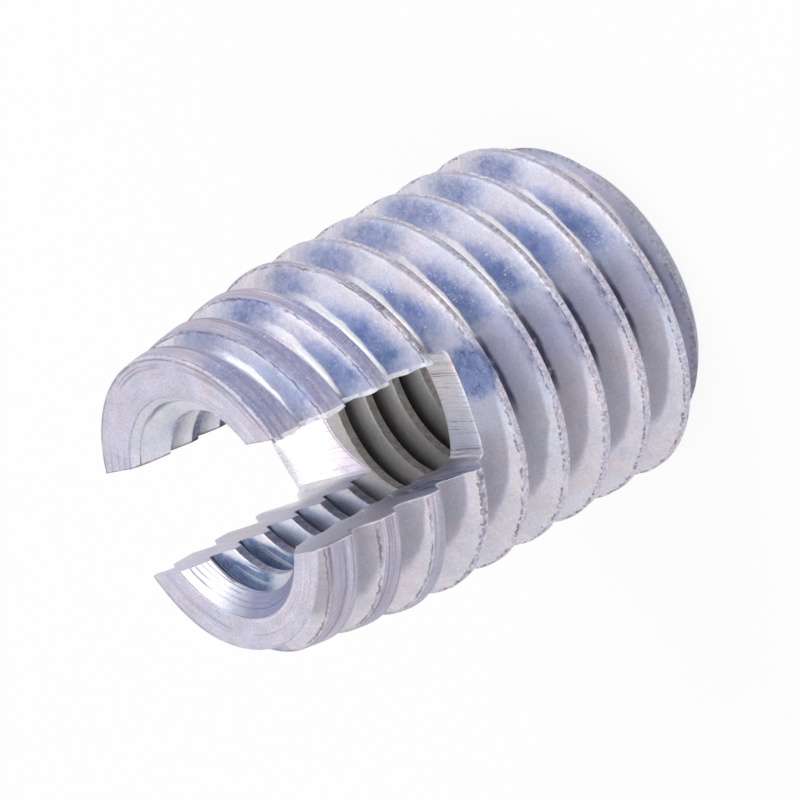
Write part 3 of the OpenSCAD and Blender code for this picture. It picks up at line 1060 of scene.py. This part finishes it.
def slot_floor_finish():
    """The slot's floor: the saw's teeth leave dark scored lines along it."""
    mat, g, shader, place = finish("zinc_slot_floor", 0.5)
    x, y, _ = g.split(place)
    near_side = g.step(x, 0.0, 0.5)
    scored = g.group("tool_lines", Place=place, Across=y, Density=30.0, Wander=0.2)
    fade = g.patches(place, 2.0, 0.30, 0.52, 3.0, 0.6)
    down = g.step(y, 1.3, -1.2)
    near = g.blend(down, shade(250, 242, 243), paint("slot_floor"))
    far = g.blend(g.step(x, -3.4, -2.2), shade(246, 242, 247), shade(214, 202, 218))
    colour = g.blend(near_side, far, near)
    mark = g.times(scored["Dark"], fade, g.line(near_side, 0.45, 0.3))
    colour = g.layers(colour, (shade(112, 110, 124), mark))
    grain = plated(g, shader, place, colour, 9.0, 0.14, 0.1, 0.15, g.times(near_side, 0.18))
    g.put(shader.inputs["Metallic"], g.line(near_side, -0.5, 1.0))
    relief(g, shader, g.add(g.times(grain, 0.3), g.times(scored["Height"], near_side)), 0.016)
    return mat


# ---------------------------------------------------------------- stage


def background_rays(g):
    """1 for rays that see the background: from the camera, in reflections and through glass."""
    path = g.node("ShaderNodeLightPath").outputs
    return g.most(path["Is Camera Ray"], path["Is Glossy Ray"], path["Is Transmission Ray"])


def floor_card(stage):
    """Pale card that shows as the white background and still takes the object's shadow."""
    mat = bpy.data.materials.new("floor_card")
    mat.use_nodes = True
    g = Graph(mat.node_tree)
    shader = mat.node_tree.nodes["Principled BSDF"]
    shader.inputs["Base Color"].default_value = (*stage.floor_colour, 1)
    shader.inputs["Roughness"].default_value = 0.9
    shader.inputs["Specular IOR Level"].default_value = 0.1
    white = g.node("ShaderNodeEmission")
    mix = g.node("ShaderNodeMixShader")
    g.put(mix.inputs[0], g.times(background_rays(g), stage.background_cover))
    g.put(mix.inputs[1], shader.outputs[0])
    g.put(mix.inputs[2], white.outputs[0])
    g.put(mat.node_tree.nodes["Material Output"].inputs["Surface"], mix.outputs[0])
    return mat


def studio_world(stage):
    """Even white light all round, and a white background."""
    world = bpy.data.worlds.new("studio_light")
    world.use_nodes = True
    g = Graph(world.node_tree)
    even = world.node_tree.nodes["Background"]
    even.inputs["Strength"].default_value = stage.sky_level
    even.inputs["Color"].default_value = (1, 1, 1, 1)
    white = g.node("ShaderNodeBackground")
    mix = g.node("ShaderNodeMixShader")
    g.put(mix.inputs[0], background_rays(g))
    g.put(mix.inputs[1], even.outputs[0])
    g.put(mix.inputs[2], white.outputs[0])
    g.put(world.node_tree.nodes["World Output"].inputs["Surface"], mix.outputs[0])
    return world


# ---------------------------------------------------------------- operators


class INSERT_OT_body(bpy.types.Operator):
    """Build the threaded bush with its saw slot and plated finish"""

    bl_idname = "insert.body"
    bl_label = "Insert Body"

    def execute(self, context):
        for make in (thread_place_group, grain_group, film_and_shade_group, specks_group, lines_group):
            make()
        finishes = [thread_finish(), bore_finish(), face_finish(), slot_wall_finish(),
                    slot_floor_finish()]
        body = new_object("insert_body_visual", blank_mesh())
        saw = new_object("saw_cut", saw_mesh())
        for obj in (body, saw):
            for mat in finishes:
                obj.data.materials.append(mat)
        cut = body.modifiers.new("slot", "BOOLEAN")
        cut.operation = "DIFFERENCE"
        cut.object = saw
        cut.solver = "EXACT"
        cut.material_mode = "INDEX"
        apply_modifiers(body)
        bpy.data.objects.remove(saw)
        if not body.data.polygons:
            raise RuntimeError("the slot cut left no mesh")
        body.data.shade_smooth()
        body.data.set_sharp_from_angle(angle=math.radians(38))
        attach(body, "root")
        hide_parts("insert_body")
        return {"FINISHED"}


class INSERT_OT_stage(bpy.types.Operator):
    """Set up the floor, the lights and the camera"""

    bl_idname = "insert.stage"
    bl_label = "Stage"

    def execute(self, context):
        scene = context.scene
        stage = scene.insert_stage
        mesh = bpy.data.meshes.new("floor")
        corners = [(x * FLOOR_EDGE, y * FLOOR_EDGE, 0) for x, y in ((-1, -1), (1, -1), (1, 1), (-1, 1))]
        mesh.from_pydata(corners, [], [(0, 1, 2, 3)])
        floor = new_object("floor", mesh)
        floor.data.materials.append(floor_card(stage))
        scene.world = studio_world(stage)
        for name, place, size, power in (
                ("soft_box_top", (0.05, 0.42, 0.30), 0.5, stage.key_power),
                ("soft_box_nose", (0.30, -0.10, 0.45), 0.5, stage.fill_power),
                ("soft_box_slot", (-0.23, -0.06, 0.39), 0.2, stage.slot_power)):
            lamp = bpy.data.lights.new(name, "AREA")
            lamp.shape = "DISK"
            lamp.size = size
            lamp.energy = power
            box = bpy.data.objects.new(name, lamp)
            scene.collection.objects.link(box)
            box.location = place
            box.rotation_euler = Vector(place).to_track_quat("Z", "Y").to_euler()

        camera = bpy.data.cameras.new("camera")
        camera.sensor_width = CAMERA_SENSOR
        camera.lens = CAMERA_LENS
        camera.clip_start = 0.01
        camera.clip_end = 10
        view = bpy.data.objects.new("camera", camera)
        scene.collection.objects.link(view)
        right = Vector(CAMERA_RIGHT).normalized()
        back = Vector(CAMERA_BACK).normalized()
        up = back.cross(right).normalized()
        right = up.cross(back)
        turn = Matrix((right, up, back)).transposed().to_4x4()
        view.matrix_world = Matrix.Translation(Vector(CAMERA_PLACE) * MM) @ turn
        scene.camera = view
        scene.view_settings.view_transform = "Standard"
        return {"FINISHED"}


class INSERT_PT_panel(bpy.types.Panel):
    bl_label = "Threaded Insert"
    bl_idname = "INSERT_PT_panel"
    bl_space_type = "VIEW_3D"
    bl_region_type = "UI"
    bl_category = "Insert"

    def draw(self, context):
        layout = self.layout
        scene = context.scene
        for settings in (scene.insert_sizes, scene.insert_colours, scene.insert_stage):
            for name in settings.__annotations__:
                layout.prop(settings, name)
        layout.operator("insert.body")
        layout.operator("insert.stage")


CLASSES = (InsertSizes, FinishColours, StageSettings, INSERT_OT_body, INSERT_OT_stage, INSERT_PT_panel)


def register():
    for cls in CLASSES:
        bpy.utils.register_class(cls)
    bpy.types.Scene.insert_sizes = bpy.props.PointerProperty(type=InsertSizes)
    bpy.types.Scene.insert_colours = bpy.props.PointerProperty(type=FinishColours)
    bpy.types.Scene.insert_stage = bpy.props.PointerProperty(type=StageSettings)


def unregister():
    del bpy.types.Scene.insert_stage
    del bpy.types.Scene.insert_colours
    del bpy.types.Scene.insert_sizes
    for cls in reversed(CLASSES):
        bpy.utils.unregister_class(cls)


def main():
    register()
    bpy.ops.insert.stage()
    bpy.ops.insert.body()


if __name__ == "__main__":
    main()
